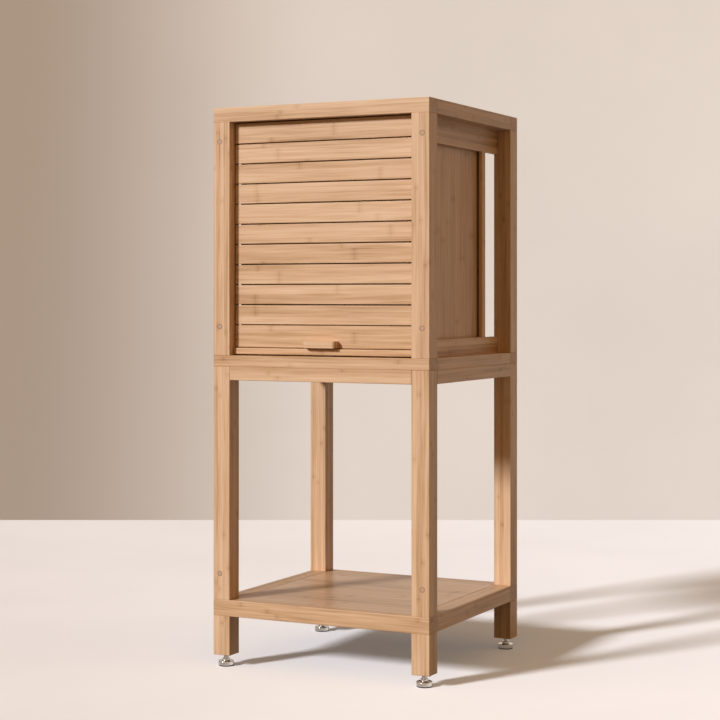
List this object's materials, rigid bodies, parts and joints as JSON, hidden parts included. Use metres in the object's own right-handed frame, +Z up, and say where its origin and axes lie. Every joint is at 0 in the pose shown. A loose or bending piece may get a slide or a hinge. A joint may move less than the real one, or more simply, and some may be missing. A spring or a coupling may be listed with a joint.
{
  "type": "bamboo cabinet",
  "caption": "Free-standing bamboo cabinet with a slatted roll-up door above an open stand with a shelf and levelling feet.",
  "frame": {"origin": "on the floor, under the middle of the cabinet", "axes": "+Z up, the roll-up door faces -Y, +X to the right of a viewer who faces the door"},
  "size_m": [0.38, 0.36, 0.895],
  "materials": {
    "bamboo_frame": "satin lacquered laminated bamboo",
    "bamboo_panel": "satin lacquered laminated bamboo",
    "bamboo_slat": "satin lacquered bamboo slats",
    "canvas": "plain woven canvas",
    "foot_steel": "polished nickel plate over a rubber pad",
    "zinc_steel": "zinc plated",
    "insert_brass": "plain"
  },
  "bodies": {
    "cabinet": {"bottom_front_rail": "bamboo_frame", "bottom_left_rail": "bamboo_frame", "bottom_rear_rail": "bamboo_frame", "bottom_right_rail": "bamboo_frame", "cabinet_floor": "bamboo_panel", "corner_tenons": "bamboo_frame", "foot_inserts": "insert_brass", "front_apron": "bamboo_frame", "inner_back_panel": "bamboo_panel", "inner_ceiling": "bamboo_panel", "inner_shelf": "bamboo_panel", "left_apron": "bamboo_frame", "leg_front_left": "bamboo_frame", "leg_front_right": "bamboo_frame", "leg_rear_left": "bamboo_frame", "leg_rear_right": "bamboo_frame", "leg_stub_front_left": "bamboo_frame", "leg_stub_front_right": "bamboo_frame", "leg_stub_rear_left": "bamboo_frame", "leg_stub_rear_right": "bamboo_frame", "lower_shelf_panel": "bamboo_panel", "outer_back_panel": "bamboo_panel", "post_pegs": "bamboo_frame", "rear_apron": "bamboo_frame", "rear_stile_left": "bamboo_frame", "rear_stile_right": "bamboo_frame", "right_apron": "bamboo_frame", "shelf_front_rail": "bamboo_frame", "shelf_left_rail": "bamboo_frame", "shelf_pins": "zinc_steel", "shelf_rear_rail": "bamboo_frame", "shelf_right_rail": "bamboo_frame", "side_bottom_rail_left": "bamboo_frame", "side_bottom_rail_right": "bamboo_frame", "side_panel_left": "bamboo_panel", "side_panel_right": "bamboo_panel", "side_top_rail_left": "bamboo_frame", "side_top_rail_right": "bamboo_frame", "tambour_cloth": "canvas", "tambour_slats": "bamboo_slat", "top_front_rail": "bamboo_frame", "top_left_rail": "bamboo_frame", "top_panel": "bamboo_panel", "top_rear_rail": "bamboo_frame", "top_right_rail": "bamboo_frame", "upper_post_front_left": "bamboo_frame", "upper_post_front_right": "bamboo_frame", "upper_post_rear_left": "bamboo_frame", "upper_post_rear_right": "bamboo_frame"},
    "door": {"tambour_bottom_slat": "bamboo_slat", "tambour_bottom_bar": "bamboo_slat", "door_handle": "bamboo_frame", "handle_screws": "zinc_steel"},
    "foot_front_left": {"levelling_foot_front_left": "foot_steel"},
    "foot_front_right": {"levelling_foot_front_right": "foot_steel"},
    "foot_rear_left": {"levelling_foot_rear_left": "foot_steel"},
    "foot_rear_right": {"levelling_foot_rear_right": "foot_steel"}
  },
  "joints": [
    {"name": "door_slide", "type": "slide", "parent": "cabinet", "child": "door", "axis": [0, 0, 1], "range_m": [0, 0.312], "deforming": ["tambour_slats", "tambour_cloth"]},
    {"name": "foot_front_left_screw", "type": "slide", "parent": "cabinet", "child": "foot_front_left", "axis": [0, 0, 1], "range_m": [-0.01, 0.006]},
    {"name": "foot_front_right_screw", "type": "slide", "parent": "cabinet", "child": "foot_front_right", "axis": [0, 0, 1], "range_m": [-0.01, 0.006]},
    {"name": "foot_rear_left_screw", "type": "slide", "parent": "cabinet", "child": "foot_rear_left", "axis": [0, 0, 1], "range_m": [-0.01, 0.006]},
    {"name": "foot_rear_right_screw", "type": "slide", "parent": "cabinet", "child": "foot_rear_right", "axis": [0, 0, 1], "range_m": [-0.01, 0.006]}
  ]
}
